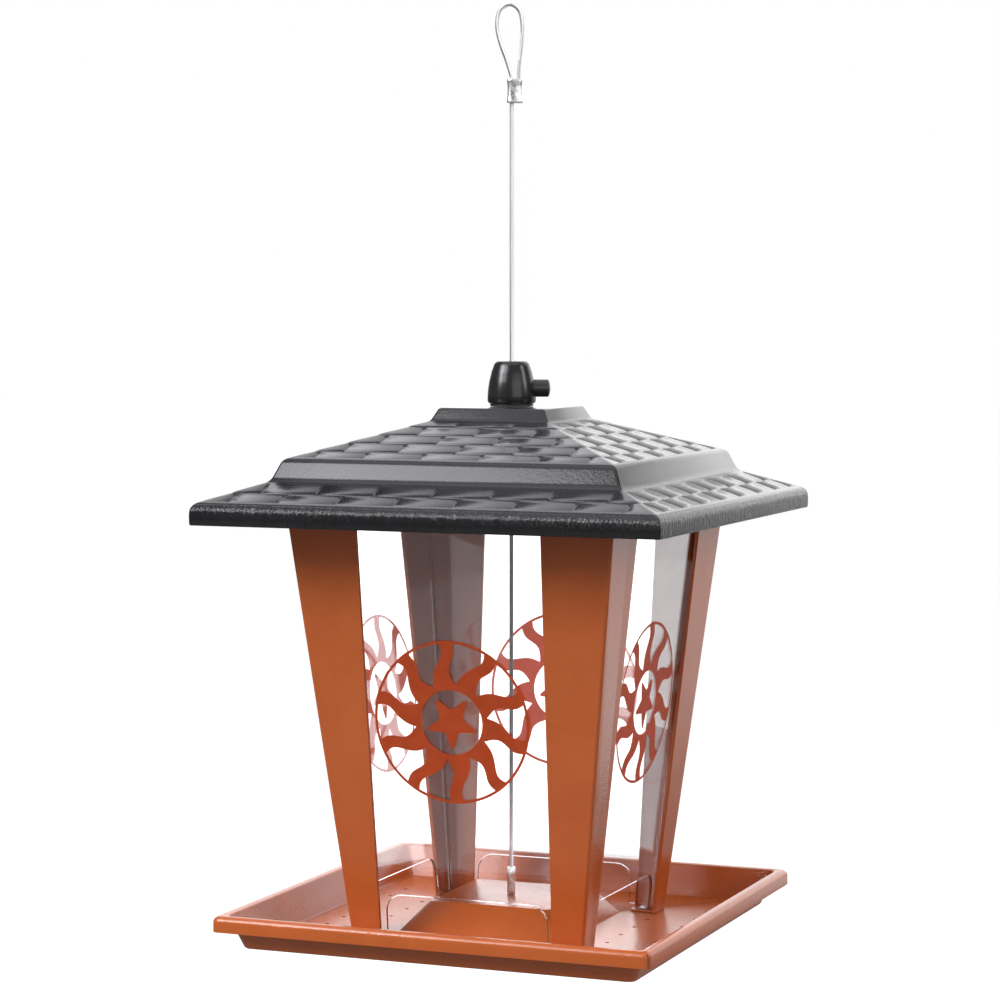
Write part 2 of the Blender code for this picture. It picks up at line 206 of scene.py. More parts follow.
# The rope's section is the outline of six strands laid round a seventh.
SECTION_POINTS = 36
strand = 2 / 3 * ROPE_RADIUS
lobes = []
for k in range(SECTION_POINTS):
    around = math.tau * k / SECTION_POINTS
    aside = (around + math.radians(30)) % math.radians(60) - math.radians(30)
    reach = strand * math.cos(aside) \
        + math.sqrt(max(0, (strand / 2) ** 2 - (strand * math.sin(aside)) ** 2))
    lobes.append((reach * math.cos(around), reach * math.sin(around), 0))
strand_section = line_curve("rope_section", lobes[::-1], True)
fine_route = rope_route(900, 20)
rope_length, tilts = 0, [0]
for first, last in zip(fine_route, fine_route[1:]):
    rope_length += (last - first).length
    tilts.append(math.tau * rope_length / ROPE_LAY)
wire_rope = line_curve("wire_rope", fine_route, False, tilts)
wire_rope.data.bevel_mode = "OBJECT"
wire_rope.data.bevel_object = strand_section
wire_rope.data.use_fill_caps = True
only(wire_rope)
bpy.ops.object.convert(target="MESH")
bpy.data.objects.remove(strand_section)
finished(wire_rope, "feeder", "galvanised_wire", zinc, "hanger_cable", smooth=50)


# Loop ferrule: an oval aluminium sleeve pressed over both legs of the loop, so that it is
# narrower across its waist, with the two legs running through bores in its ends.
FERRULE_LOW, FERRULE_HIGH = LOOP_FOOT, 0.4270
FERRULE_RADIUS = 0.0024
FERRULE_FLAT = 0.0017
BORE = 0.00125


def working(name):
    """The primitive just added, named and opened for editing."""
    piece = bpy.context.object
    piece.name = piece.data.name = name
    bpy.ops.object.mode_set(mode="EDIT")
    return piece


def choose(piece, kind, test):
    """Selects the vertices, edges or faces that pass the test, with nothing else selected."""
    bpy.ops.mesh.select_mode(type=kind)
    bpy.ops.mesh.select_all(action="DESELECT")
    mesh = bmesh.from_edit_mesh(piece.data)
    for item in {"VERT": mesh.verts, "EDGE": mesh.edges, "FACE": mesh.faces}[kind]:
        if test(item):
            item.select_set(True)
    mesh.select_flush_mode()
    bmesh.update_edit_mesh(piece.data)


def close_up():
    """Merges doubles, turns the faces outwards and leaves edit mode."""
    bpy.ops.mesh.select_mode(type="VERT")
    bpy.ops.mesh.select_all(action="SELECT")
    bpy.ops.mesh.remove_doubles(threshold=0.000002)
    bpy.ops.mesh.normals_make_consistent(inside=False)
    bpy.ops.object.mode_set(mode="OBJECT")


def drilled(piece, drills):
    """Cuts the joined drills out of the piece."""
    only(*drills)
    if len(drills) > 1:
        bpy.ops.object.join()
    cutter = bpy.context.object
    only(piece)
    boolean = piece.modifiers.new("drill", "BOOLEAN")
    boolean.operation = "DIFFERENCE"
    boolean.object = cutter
    bpy.ops.object.modifier_apply(modifier="drill")
    bpy.data.objects.remove(cutter)


def drill(radius, place, depth, sides=24):
    bpy.ops.object.select_all(action="DESELECT")
    bpy.ops.mesh.primitive_cylinder_add(vertices=sides, radius=radius, depth=depth, location=place)
    return bpy.context.object


crimp, tree, surface = plain("pressed aluminium", Metallic=1.0, Base_Color=(0.86, 0.86, 0.87))
marks = add_mottle(tree, 400, 1500)
ramp(tree, marks.outputs["Patches"], surface.inputs["Roughness"], 0.22, 0.42)
dents = tree.nodes.new("ShaderNodeBump")
dents.inputs["Strength"].default_value = 0.25
dents.inputs["Distance"].default_value = 0.0003
tree.links.new(marks.outputs["Patches"], dents.inputs["Height"])
tree.links.new(dents.outputs["Normal"], surface.inputs["Normal"])

bpy.ops.object.select_all(action="DESELECT")
bpy.ops.mesh.primitive_cylinder_add(vertices=32, radius=FERRULE_RADIUS,
                                    depth=FERRULE_HIGH - FERRULE_LOW, location=(0, 0, 0))
ferrule = working("ferrule")
for side in (-1, 1):
    choose(ferrule, "VERT", lambda v: v.co.x * side > 0.00001)
    bpy.ops.transform.translate(value=(side * FERRULE_FLAT, 0, 0))
for z in (-0.0048, -0.0036, -0.0018, 0, 0.0018, 0.0036, 0.0048):
    bpy.ops.mesh.select_all(action="SELECT")
    bpy.ops.mesh.bisect(plane_co=(0, 0, z), plane_no=(0, 0, 1))
for reach, wide, deep in ((0.0040, 0.96, 0.90), (0.0020, 0.97, 0.92), (0.0005, 0.99, 1.05)):
    choose(ferrule, "VERT", lambda v: abs(v.co.z) < reach)
    bpy.ops.transform.resize(value=(wide, deep, 1))
choose(ferrule, "EDGE", lambda e: all(abs(v.co.z) > 0.0059 for v in e.verts))
bpy.ops.mesh.bevel(offset=0.0004, segments=2)
close_up()
drilled(ferrule, [drill(BORE, (side * LEG_ASIDE / 2, 0, 0), 0.02) for side in (-1, 1)])
ferrule.location = (LEG_ASIDE / 2 * math.cos(FACING), LEG_ASIDE / 2 * math.sin(FACING),
                    (FERRULE_LOW + FERRULE_HIGH) / 2)
ferrule.rotation_euler.z = FACING
finished(ferrule, "feeder", "crimp_aluminium", crimp, "loop_ferrule")


# Anchor: a crimped aluminium sleeve on the rope above the tray's raised centre, and a
# washer and a stop under it, which carry the weight of the whole feeder.
def turned(name, profile, steps):
    """Spins a profile of radius and height round Z, from its top to its bottom."""
    bpy.ops.object.select_all(action="DESELECT")
    bpy.ops.mesh.primitive_plane_add(size=0.001, location=(0, 0, 0))
    piece = working(name)
    bpy.ops.mesh.select_all(action="SELECT")
    bpy.ops.mesh.merge(type="CENTER")
    radius, height = profile[0]
    bpy.ops.transform.translate(value=(radius, 0, height))
    for (r0, z0), (r1, z1) in zip(profile, profile[1:]):
        bpy.ops.mesh.extrude_region_move(TRANSFORM_OT_translate={"value": (r1 - r0, 0, z1 - z0)})
    bpy.ops.mesh.select_all(action="SELECT")
    bpy.ops.mesh.spin(steps=steps, angle=math.tau, center=(0, 0, 0), axis=(0, 0, 1))
    close_up()
    return piece


sleeve = turned("anchor_sleeve_crimped", [
    (BORE, 0.0302), (0.00195, 0.0302), (0.0021, 0.0300), (0.0021, 0.0268), (0.00204, 0.0258),
    (0.00204, 0.0214), (0.0021, 0.0204), (0.0021, 0.0168), (0.00195, SLEEVE_LOW),
    (BORE, SLEEVE_LOW), (BORE, 0.0302)], 32)
finished(sleeve, "feeder", "crimp_aluminium", crimp, "anchor_sleeve")
for name in ("anchor_washer", "anchor_stop"):
    nodes[name].material_slots[0].material = crimp


# Tray: one square pressing of 0.8 mm steel in copper-coloured paint. Its centre is raised to
# carry the rope's anchor. Its walls slope out to a rolled bead, with a short hem below that.
TRAY_SHEET = 0.0008
BEAD_CENTRE, BEAD_RADIUS = (0.1098, 0.0143), 0.0030
TRAY_RINGS = [
    (0.0320, 0.0163), (0.0440, 0.0020), (0.0965, 0.0020), (0.0980, 0.0008), (0.1010, 0.0008),
    (0.1070, 0.0169),
    *[(BEAD_CENTRE[0] + BEAD_RADIUS * math.cos(math.radians(a)),
       BEAD_CENTRE[1] + BEAD_RADIUS * math.sin(math.radians(a))) for a in (90, 72, 54, 36, 18, 0)],
    (0.1128, 0.0095),
]
TRAY_CORNER = 0.0028
TRAY_FOLD = 0.0007
ANCHOR_HOLE = 0.0019
RIVET_HOLE = 0.0018
FOOT_RIVET = 0.0530
DRAIN_HOLE = 0.0012
DRAIN_PITCH = 0.020
DRAIN_ROWS = [(0.0625, (-1.5, -0.5, 0.5, 1.5)), (0.0845, (-3, -2, -1, 0, 1, 2, 3))]
# The slit that parts the hem at a corner: its middle and its size.
SLIT_CENTRE, SLIT_SIZE = (0.1124, 0.1124, 0.0115), (0.006, 0.0010, 0.0094)


def peel_group():
    """The fine orange peel of baked enamel, and the slow ripple of the sheet under it."""
    group = bpy.data.node_groups.new("orange peel", "ShaderNodeTree")
    group.interface.new_socket("Size", in_out="INPUT", socket_type="NodeSocketFloat")
    group.interface.new_socket("Height", in_out="OUTPUT", socket_type="NodeSocketFloat")
    enter, leave = group.nodes.new("NodeGroupInput"), group.nodes.new("NodeGroupOutput")
    place = group.nodes.new("ShaderNodeTexCoord")
    fine = group.nodes.new("ShaderNodeTexNoise")
    fine.inputs["Detail"].default_value = 1.5
    slow = group.nodes.new("ShaderNodeTexNoise")
    slow.inputs["Scale"].default_value = 35
    slow.inputs["Detail"].default_value = 1
    total = group.nodes.new("ShaderNodeMath")
    total.operation = "MULTIPLY_ADD"
    total.inputs[1].default_value = 2.5
    group.links.new(place.outputs["Object"], fine.inputs["Vector"])
    group.links.new(place.outputs["Object"], slow.inputs["Vector"])
    group.links.new(enter.outputs["Size"], fine.inputs["Scale"])
    group.links.new(slow.outputs["Fac"], total.inputs[0])
    group.links.new(fine.outputs["Fac"], total.inputs[2])
    group.links.new(total.outputs["Value"], leave.inputs["Height"])
    return group


peel = peel_group()


def add_peel(tree, surface, size, strength, distance):
    node = tree.nodes.new("ShaderNodeGroup")
    node.node_tree = peel
    node.inputs["Size"].default_value = size
    bump = tree.nodes.new("ShaderNodeBump")
    bump.inputs["Strength"].default_value = strength
    bump.inputs["Distance"].default_value = distance
    tree.links.new(node.outputs["Height"], bump.inputs["Height"])
    tree.links.new(bump.outputs["Normal"], surface.inputs["Normal"])


def mottled(tree, surface, patch_size, speck_size, colours, roughness):
    """Runs the colour with the soft patches and the roughness with the fine specks."""
    marks = add_mottle(tree, patch_size, speck_size)
    ramp(tree, marks.outputs["Patches"], surface.inputs["Base Color"], *colours)
    ramp(tree, marks.outputs["Specks"], surface.inputs["Roughness"], *roughness)
    return marks


copper, tree, surface = plain("copper paint", Metallic=0.0)
mottled(tree, surface, 45, 1400, ((0.455, 0.100, 0.022), (0.490, 0.112, 0.026)), (0.23, 0.34))
add_peel(tree, surface, 800, 0.36, 0.0003)


def square_plate(name, half, height):
    """A level square plate, opened for editing."""
    bpy.ops.object.select_all(action="DESELECT")
    bpy.ops.mesh.primitive_plane_add(size=2 * half, location=(0, 0, height))
    piece = working(name)
    bpy.ops.object.mode_set(mode="OBJECT")
    bpy.ops.object.transform_apply(location=True, rotation=False, scale=False)
    bpy.ops.object.mode_set(mode="EDIT")
    return piece


def ring_out(piece, rings):
    """Carries the square edge loop that is selected out and down through the rings."""
    for (half0, z0), (half1, z1) in zip(rings, rings[1:]):
        bpy.ops.mesh.extrude_edges_move(TRANSFORM_OT_translate={"value": (0, 0, z1 - z0)})
        bpy.ops.transform.resize(value=(half1 / half0, half1 / half0, 1))


def on_hip(edge):
    """An edge that runs up one of the four corners of a square pressing."""
    return all(abs(abs(v.co.x) - abs(v.co.y)) < 0.00001 for v in edge.verts) \
        and (abs(edge.verts[0].co.x - edge.verts[1].co.x) > 0.00001
             or abs(edge.verts[0].co.z - edge.verts[1].co.z) > 0.00001) \
        and edge.verts[0].co.x * edge.verts[1].co.x > 0 \
        and edge.verts[0].co.y * edge.verts[1].co.y > 0


def sharp(edge, degrees):
    """An edge where two faces meet at more than this angle."""
    return len(edge.link_faces) == 2 and edge.calc_face_angle() > math.radians(degrees)


def thickened(piece, sheet, even):
    """Closes a pressing, turns it face up and gives it its sheet's thickness underneath."""
    close_up()
    if sum(f.normal.z * f.area for f in piece.data.polygons) < 0:
        piece.data.flip_normals()
    wall = piece.modifiers.new("sheet", "SOLIDIFY")
    wall.thickness = sheet
    wall.offset = -1
    wall.use_even_offset = even
    only(piece)
    bpy.ops.object.modifier_apply(modifier="sheet")


def block(place, size, turn=0.0):
    bpy.ops.object.select_all(action="DESELECT")
    bpy.ops.mesh.primitive_cube_add(size=1, location=place, rotation=(0, 0, turn), scale=size)
    return bpy.context.object


tray = square_plate("tray_pressing", *TRAY_RINGS[0])
choose(tray, "EDGE", lambda e: True)
ring_out(tray, TRAY_RINGS)
choose(tray, "EDGE", on_hip)
bpy.ops.mesh.bevel(offset=TRAY_CORNER, segments=5, affect="EDGES")
choose(tray, "EDGE", lambda e: sharp(e, 25) and abs(e.verts[0].co.z - e.verts[1].co.z) < 0.00005)
bpy.ops.mesh.bevel(offset=TRAY_FOLD, segments=3, affect="EDGES")
thickened(tray, TRAY_SHEET, even=True)
drills = [drill(ANCHOR_HOLE, (0, 0, 0.016), 0.01)]
for corner in range(4):
    turn = Matrix.Rotation(math.radians(90) * corner, 4, "Z")
    drills.append(drill(RIVET_HOLE, turn @ Vector((FOOT_RIVET, -FOOT_RIVET, 0)), 0.01))
    for out, places in DRAIN_ROWS:
        for place in places:
            centre = turn @ Vector((out, DRAIN_PITCH * place, 0))
            drills.append(drill(DRAIN_HOLE, centre, 0.012, 20))
    drills.append(block(turn @ Vector(SLIT_CENTRE), SLIT_SIZE, math.radians(45 + 90 * corner)))
drilled(tray, drills)
finished(tray, "feeder", "copper_paint", copper, "tray", smooth=35)


# Corner posts: four angles of the same painted steel, wider at the top than at the foot. Each
# is folded once, with a narrow lip turned in along both edges and a tab riveted to the tray.
def refined(node, name, pitch=1.0):
    """A merged copy of a CAD node's mesh with its flat faces made whole, opened for editing."""
    piece = bpy.data.objects.new(name, nodes[node].data.copy())
    bpy.context.scene.collection.objects.link(piece)
    only(piece)
    bpy.ops.object.mode_set(mode="EDIT")
    bpy.ops.mesh.select_all(action="SELECT")
    bpy.ops.mesh.remove_doubles(threshold=0.000005)
    bpy.ops.mesh.dissolve_limited(angle_limit=math.radians(pitch))
    return piece


POST_HALF_FOOT, POST_SPREAD = 0.0610, 0.1125
LEVEL = math.sqrt(1 + POST_SPREAD ** 2)


def near_fold(edge, inward):
    """An edge up the corner of a post: its outer fold, or the inner one a sheet further in."""
    for v in edge.verts:
        half = POST_HALF_FOOT + POST_SPREAD * v.co.z - inward
        if abs(abs(v.co.x) - half) > 0.0002 or abs(abs(v.co.y) - half) > 0.0002:
            return False
    return abs(edge.verts[0].co.z - edge.verts[1].co.z) > 0.05


for corner in ("front_right", "back_right", "back_left", "front_left"):
    post = refined("post_" + corner, "corner_post_" + corner)
    choose(post, "EDGE", lambda e: near_fold(e, 0))
    bpy.ops.mesh.bevel(offset=0.0014, segments=5, affect="EDGES")
    choose(post, "EDGE", lambda e: near_fold(e, 0.0008))
    bpy.ops.mesh.bevel(offset=0.0006, segments=3, affect="EDGES")
    choose(post, "EDGE", lambda e: sharp(e, 60)
           and abs(e.verts[0].co.z - e.verts[1].co.z) > 0.15)
    bpy.ops.mesh.bevel(offset=0.00028, segments=2, affect="EDGES")
    bpy.ops.object.mode_set(mode="OBJECT")
    finished(post, "feeder", "copper_paint", copper, "post_" + corner, smooth=30)


# Hopper windows: four sheets of clear plastic between the posts, 1.5 mm thick with their
# edges eased, each with a seed port along its foot and two rivet holes at its head.
def either_ray(tree, first, second):
    """A mask that is 1 for rays of either kind."""
    rays = tree.nodes.new("ShaderNodeLightPath")
    either = tree.nodes.new("ShaderNodeMath")
    either.operation = "MAXIMUM"
    tree.links.new(rays.outputs[first], either.inputs[0])
    tree.links.new(rays.outputs[second], either.inputs[1])
    return either.outputs["Value"]


def blended(tree, first, second):
    """Puts a mix of two shaders on the surface, and returns the socket of its share."""
    blend = tree.nodes.new("ShaderNodeMixShader")
    tree.links.new(first.outputs["BSDF"], blend.inputs[1])
    tree.links.new(second.outputs["BSDF"], blend.inputs[2])
    tree.links.new(blend.outputs["Shader"], tree.nodes["Material Output"].inputs["Surface"])
    return blend.inputs[0]


clear, tree, surface = plain("clear plastic", Metallic=0.0, Transmission_Weight=1.0, IOR=1.49,
                             Base_Color=(0.988, 0.985, 0.993))
marks = add_mottle(tree, 30, 900)
ramp(tree, marks.outputs["Specks"], surface.inputs["Roughness"], 0.015, 0.06)
passing = tree.nodes.new("ShaderNodeBsdfTransparent")
passing.inputs["Color"].default_value = (0.93, 0.925, 0.945, 1)
tree.links.new(either_ray(tree, "Is Shadow Ray", "Is Diffuse Ray"), blended(tree, surface, passing))

for side in ("front", "right", "back", "left"):
    window = refined("panel_" + side, "window_" + side, 2.0)
    choose(window, "EDGE", lambda e: sharp(e, 60))
    bpy.ops.mesh.bevel(offset=0.00025, segments=2, affect="EDGES")
    bpy.ops.object.mode_set(mode="OBJECT")
    finished(window, "feeder", "clear_plastic", clear, "panel_" + side, smooth=10)


# Printed suns: a copper-coloured ring, ten wavy rays, a hub and a five-pointed star, screen
# printed as one thin film on the outside of each window.
WINDOW_SETBACK = 0.0023
PRINT_FILM = 0.00005
RING_OUT, RING_IN, HUB_OUT, HUB_IN, STAR = 0.0405, 0.0391, 0.0190, 0.0161, 0.0134
RAYS = 10
RAY_WIDTH = 0.0057


def ray_edge(number, side, share):
    """A point on one side of a ray, a share of the way from the hub to the ring."""
    radius = HUB_OUT + (RING_IN - HUB_OUT) * share
    base = math.tau * HUB_OUT / RAYS
    width = RAY_WIDTH + (base - RAY_WIDTH) * (1 - share) ** 2.4 + 0.0014 * share ** 4
    lean = math.radians(-6.5 * share + 3.0 * math.sin(math.tau * share))
    turn = math.radians(99 - 36 * number) + lean + side * width / radius / 2
    return radius * math.cos(turn), radius * math.sin(turn)


def arc(radius, start, end, count):
    return [(radius * math.cos(start + (end - start) * k / count),
             radius * math.sin(start + (end - start) * k / count)) for k in range(count)]


outlines = [arc(RING_OUT, 0, math.tau, 120), arc(HUB_IN, 0, math.tau, 80)]
for number in range(RAYS):
    steps = 18
    right_side = [ray_edge(number, -1, k / steps) for k in range(steps + 1)]
    left_side = [ray_edge(number + 1, 1, k / steps) for k in range(steps, 0, -1)]
    start, end = (math.atan2(y, x) for x, y in (right_side[-1], left_side[0]))
    end -= math.tau * round((end - start) / math.tau)
    outlines.append(right_side + arc(RING_IN, start, end, 8)[1:] + left_side)
star = []
for k in range(5):
    tip = math.radians(-90 + 72 * k)
    for share, turn in ((0.47, -36), (0.93, -4.5), (0.99, -1.5), (0.99, 1.5), (0.93, 4.5)):
        star.append((STAR * share * math.cos(tip + math.radians(turn)),
                     STAR * share * math.sin(tip + math.radians(turn))))
outlines.append(star)

ink, tree, surface = plain("copper ink", Metallic=0.0)
marks = mottled(tree, surface, 120, 1600,
                ((0.465, 0.108, 0.026), (0.500, 0.122, 0.032)), (0.38, 0.52))
through = tree.nodes.new("ShaderNodeBsdfTranslucent")
ramp(tree, marks.outputs["Patches"], through.inputs["Color"],
     (0.78, 0.24, 0.13), (0.84, 0.27, 0.15))
blended(tree, surface, through).default_value = 0.60

# Each sun's window, and its middle: how far aside, and its height.
SUN_PLACES = [("front", -0.003, 0.1125), ("right", -0.002, 0.1175), ("back", -0.001, 0.1125),
              ("left", 0.0, 0.115)]
for turn, (side, aside, height) in enumerate(SUN_PLACES):
    out = Vector((0, -1, -POST_SPREAD)) / LEVEL
    up = Vector((0, -POST_SPREAD, 1)) / LEVEL
    place = Vector((aside, -(POST_HALF_FOOT + POST_SPREAD * height), height)) \
        - out * (WINDOW_SETBACK - PRINT_FILM / 2 - 0.00001)
    art = bpy.data.curves.new("sun_print_" + side, "CURVE")
    art.dimensions = "2D"
    art.fill_mode = "BOTH"
    art.extrude = PRINT_FILM / 2
    for outline in outlines:
        spline = art.splines.new("POLY")
        spline.points.add(len(outline) - 1)
        for point, (x, y) in zip(spline.points, outline):
            point.co = (x, y, 0, 1)
        spline.use_cyclic_u = True
    sun = bpy.data.objects.new("sun_print_" + side, art)
    bpy.context.scene.collection.objects.link(sun)
    only(sun)
    bpy.ops.object.convert(target="MESH")
    sun.matrix_world = Matrix.Rotation(math.radians(90) * turn, 4, "Z") @ Matrix((
        (1, up.x, out.x, place.x), (0, up.y, out.y, place.y), (0, up.z, out.z, place.z),
        (0, 0, 0, 1)))
    finished(sun, "feeder", "copper_paint", ink, smooth=30)


# Top rail: a square steel angle inside the head of the hopper. It ties the posts and the
# windows together under the roof.
rail = refined("top_rail", "top_rail_angle")
choose(rail, "EDGE", lambda e: sharp(e, 60)
       and max(abs(v.co.x) for v in e.verts) > 0.05 and e.calc_length() > 0.05)
bpy.ops.mesh.bevel(offset=0.0003, segments=2, affect="EDGES")
bpy.ops.object.mode_set(mode="OBJECT")
finished(rail, "feeder", "copper_paint", copper, "top_rail", smooth=30)


# Rivets: aluminium pop rivets with domed heads, two through the head of each window and one
# through the foot of each post.
for name in [n for n in nodes if n.startswith("rivet_")]:
    nodes[name].material_slots[0].material = crimp


# Roof: one pressing of 0.8 mm steel in black enamel, stamped with courses of tiles laid in
# running bond, with a riser between its two slopes and a deep fascia round the eaves.
ROOF_SHEET = 0.0008
TILE = 0.030
JOINT_DEPTH = 0.0007
# The pressing's straight section: half widths and heights from the top plate to the eaves.
ROOF_FOLDS = [(0.0200, 0.2635), (0.0281, 0.2635), (0.0314, 0.2571), (0.0862, 0.2395),
              (0.0907, 0.2290), (0.1200, 0.21848), (0.1200, 0.2085)]
FOLD_RADII = [0.0018, 0.0034, 0.0048, 0.0056, 0.0052]
# Each course: half widths at its foot and its head, and where its joints fall in half tiles.
LOWER_COURSES = [(0.1164, 0.1050, 1), (0.1050, 0.0932, 0)]
UPPER_COURSES = [(0.0840, 0.0748, 1), (0.0748, 0.0630, 0), (0.0630, 0.0515, 1),
                 (0.0515, 0.0400, 0), (0.0400, 0.0329, 1)]
# A course's section from head to foot: share of its depth, and height off the slope in metres.
HEAD_COURSE = [(0.00, 0.0), (0.25, 0.00004), (0.50, 0.00009), (0.70, 0.00013), (0.82, 0.00012),
               (0.90, 0.00004), (0.96, -0.00010)]
MID_COURSE = [(0.00, -0.00019), (0.05, -0.00018), (0.25, -0.00008), (0.50, 0.00004),
              (0.70, 0.00012), (0.82, 0.00012), (0.90, 0.00004), (0.96, -0.00010)]
FOOT_COURSE = [(0.00, -0.00019), (0.05, -0.00018), (0.25, -0.00008), (0.50, 0.00003),
               (0.75, 0.00006), (0.92, 0.00002)]
# A joint's section across: how far aside of its middle, and the share of its full depth.
GROOVE = [(-0.0012, 0.0), (-0.0004, 0.85), (0.0, 1.0), (0.0004, 0.85), (0.0012, 0.0)]
GROOVE_END = 0.965
HIP_ROOM = 0.004
HIP_KEPT = 0.0018
HIP_FOLD = 0.0011
ROOF_HOLE = 0.0035


def folded(before, corner, after, radius, steps=5):
    """Points of a rounded fold between two straight runs of a section."""
    corner = Vector(corner)
    back, on = (Vector(before) - corner).normalized(), (Vector(after) - corner).normalized()
    half = back.angle(on) / 2
    middle = corner + (back + on).normalized() * radius / math.sin(half)
    first = (corner + back * radius / math.tan(half) - middle).normalized()
    last = (corner + on * radius / math.tan(half) - middle).normalized()
    return [tuple(middle + first.slerp(last, k / steps) * radius) for k in range(steps + 1)]


def slope_rings(slope, courses):
    """Rings of a tiled slope from its head to its foot, and the slope's outward normal."""
    (half0, z0), (half1, z1) = slope
    fall = Vector((half1 - half0, z1 - z0)).normalized()
    normal = Vector((-fall.y, fall.x))
    rings = []
    for foot, head, _ in reversed(courses):
        section = HEAD_COURSE if not rings else FOOT_COURSE if foot == courses[0][0] else MID_COURSE
        for share, rise in section:
            half = head + (foot - head) * share
            z = z0 + (z1 - z0) * (half - half0) / (half1 - half0)
            rings.append((half + normal.x * rise, z + normal.y * rise))
    return rings, normal


folds = [folded(*ROOF_FOLDS[k:k + 3], FOLD_RADII[k]) for k in range(5)]
UPPER_SLOPE, LOWER_SLOPE = (ROOF_FOLDS[2], ROOF_FOLDS[3]), (ROOF_FOLDS[4], ROOF_FOLDS[5])
upper, upper_normal = slope_rings(UPPER_SLOPE, UPPER_COURSES)
lower, lower_normal = slope_rings(LOWER_SLOPE, LOWER_COURSES)
roof_rings = folds[0] + folds[1] + upper + folds[2] + folds[3] + lower + folds[4] \
    + [(0.1201, 0.2130), (0.1200, 0.2090), (0.1196, 0.2085)]

roof = square_plate("roof_pressing", *roof_rings[0])
choose(roof, "VERT", lambda v: v.co.y > 0)
bpy.ops.mesh.delete(type="VERT")
choose(roof, "EDGE", lambda e: True)
for (half0, z0), (half1, z1) in zip(roof_rings, roof_rings[1:]):
    bpy.ops.mesh.extrude_edges_move(TRANSFORM_OT_translate={"value": (0, half0 - half1, z1 - z0)})
    bpy.ops.transform.resize(value=(half1 / half0, 1, 1))
# Joint grooves: lines cut across each course, then the middle ones pressed in.
for courses, slope, normal in ((LOWER_COURSES, LOWER_SLOPE, lower_normal),
                               (UPPER_COURSES, UPPER_SLOPE, upper_normal)):
    for foot, head, odd in courses:
        spots = [TILE * (k + odd / 2) for k in range(-4, 5)]
        spots = [u for u in spots if abs(u) < foot - 0.006]
        spots = [math.copysign(head - HIP_ROOM, u) if abs(abs(u) - head) < HIP_ROOM else u
                 for u in spots]
        for u in spots:
            for shift, _ in GROOVE:
                choose(roof, "FACE", lambda f: all(head - 0.0001 < -v.co.y < foot + 0.0001
                                                   for v in f.verts))
                bpy.ops.mesh.bisect(plane_co=(u + shift, 0, 0), plane_no=(1, 0, 0))
        for place, share in GROOVE:
            if share:
                inner = head + 0.0002, head + (foot - head) * GROOVE_END
                choose(roof, "VERT", lambda v: inner[0] < -v.co.y < inner[1]
                       and -v.co.y - abs(v.co.x) > HIP_KEPT
                       and any(abs(v.co.x - u - place) < 0.00002 for u in spots))
                push = -JOINT_DEPTH * share
                bpy.ops.transform.translate(value=(0, -normal.x * push, normal.y * push))
for quarter in (1, 2, 3):
    choose(roof, "FACE", lambda f: -f.calc_center_median().y > abs(f.calc_center_median().x))
    bpy.ops.mesh.duplicate()
    bpy.ops.transform.rotate(value=math.radians(90) * quarter, orient_axis="Z",
                             center_override=(0, 0, 0))
bpy.ops.mesh.select_all(action="SELECT")
bpy.ops.mesh.remove_doubles(threshold=0.000005)
choose(roof, "EDGE", lambda e: len(e.link_faces) == 1
       and all(abs(v.co.z - roof_rings[0][1]) < 0.00001 for v in e.verts))
bpy.ops.mesh.edge_face_add()
bpy.ops.mesh.inset(thickness=0.006, depth=0.0)
choose(roof, "EDGE", on_hip)
bpy.ops.mesh.bevel(offset=HIP_FOLD, segments=3, affect="EDGES")
thickened(roof, ROOF_SHEET, even=False)
drilled(roof, [drill(ROOF_HOLE, (0, 0, 0.263), 0.01, 32)])

enamel, tree, surface = plain("black enamel", Metallic=0.0)
mottled(tree, surface, 60, 1500,
        ((0.0085, 0.0085, 0.0095), (0.0125, 0.0125, 0.0140)), (0.19, 0.32))
add_peel(tree, surface, 700, 0.12, 0.0004)
# The enamel ran and wrinkled on the fascia, in fine upright streaks that fade out at its fold.
place = tree.nodes.new("ShaderNodeTexCoord")
squeeze = tree.nodes.new("ShaderNodeMapping")
squeeze.inputs["Scale"].default_value = (1, 1, 0.16)
streaks = tree.nodes.new("ShaderNodeTexNoise")
streaks.inputs["Scale"].default_value = 900
streaks.inputs["Detail"].default_value = 3
apart = tree.nodes.new("ShaderNodeVectorMath")
apart.operation = "ABSOLUTE"
axes = tree.nodes.new("ShaderNodeSeparateXYZ")
widest = tree.nodes.new("ShaderNodeMath")
widest.operation = "MAXIMUM"
on_fascia = tree.nodes.new("ShaderNodeMapRange")
on_fascia.inputs["From Min"].default_value = 0.1180
on_fascia.inputs["From Max"].default_value = 0.1199
depth = tree.nodes.new("ShaderNodeMath")
depth.operation = "MULTIPLY"
wrinkles = tree.nodes.new("ShaderNodeBump")
wrinkles.inputs["Strength"].default_value = 0.85
wrinkles.inputs["Distance"].default_value = 0.0012
tree.links.new(place.outputs["Object"], squeeze.inputs["Vector"])
tree.links.new(squeeze.outputs["Vector"], streaks.inputs["Vector"])
tree.links.new(place.outputs["Object"], apart.inputs[0])
tree.links.new(apart.outputs["Vector"], axes.inputs["Vector"])
tree.links.new(axes.outputs["X"], widest.inputs[0])
tree.links.new(axes.outputs["Y"], widest.inputs[1])
tree.links.new(widest.outputs["Value"], on_fascia.inputs["Value"])
tree.links.new(on_fascia.outputs["Result"], depth.inputs[0])
tree.links.new(streaks.outputs["Fac"], depth.inputs[1])
tree.links.new(depth.outputs["Value"], wrinkles.inputs["Height"])
tree.links.new(surface.inputs["Normal"].links[0].from_socket, wrinkles.inputs["Normal"])
tree.links.new(wrinkles.outputs["Normal"], surface.inputs["Normal"])
finished(roof, "roof_shell", "roof_enamel", enamel, "roof", smooth=50)


